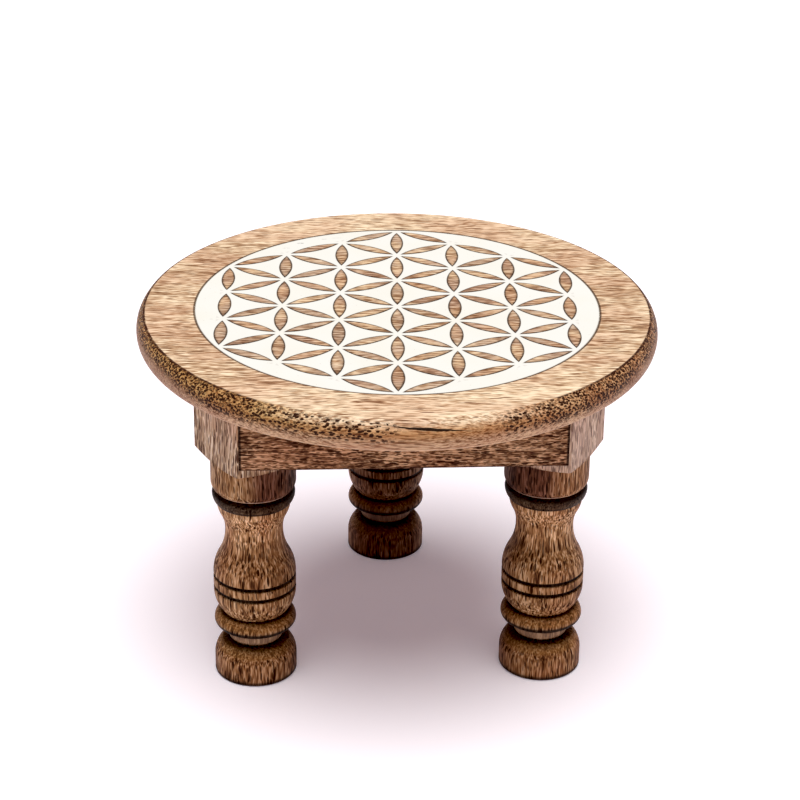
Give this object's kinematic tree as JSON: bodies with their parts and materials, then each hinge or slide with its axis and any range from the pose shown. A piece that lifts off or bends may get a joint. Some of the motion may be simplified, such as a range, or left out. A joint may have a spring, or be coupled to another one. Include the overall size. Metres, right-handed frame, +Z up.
{
  "type": "low table",
  "caption": "Low round table on three turned legs, with a railed frame under a top that has a petal lattice standing in a white inlay.",
  "frame": {"origin": "on the floor under the centre of the top board", "axes": "+Z up, +Y towards the back leg, -Y out of the front rail, +X to the right seen from the front"},
  "size_m": [0.25, 0.25, 0.175],
  "materials": {
    "top_wood": "oiled light honey brown wood with fine dark pores",
    "white_inlay": "warm white filler, sanded flush and satin",
    "leg_wood": "turned and oiled medium brown wood with burnt dark bands",
    "apron_wood": "planed and oiled reddish brown wood",
    "dowel_wood": "plain hardwood rod",
    "screw_steel": "zinc plated"
  },
  "bodies": {
    "root": {"top_board": "top_wood", "inlay": "white_inlay", "leg_back": "leg_wood", "leg_front_left": "leg_wood", "leg_front_right": "leg_wood", "apron_front": "apron_wood", "apron_left": "apron_wood", "apron_right": "apron_wood", "apron_dowels": "dowel_wood", "top_screws": "screw_steel"}
  },
  "joints": []
}
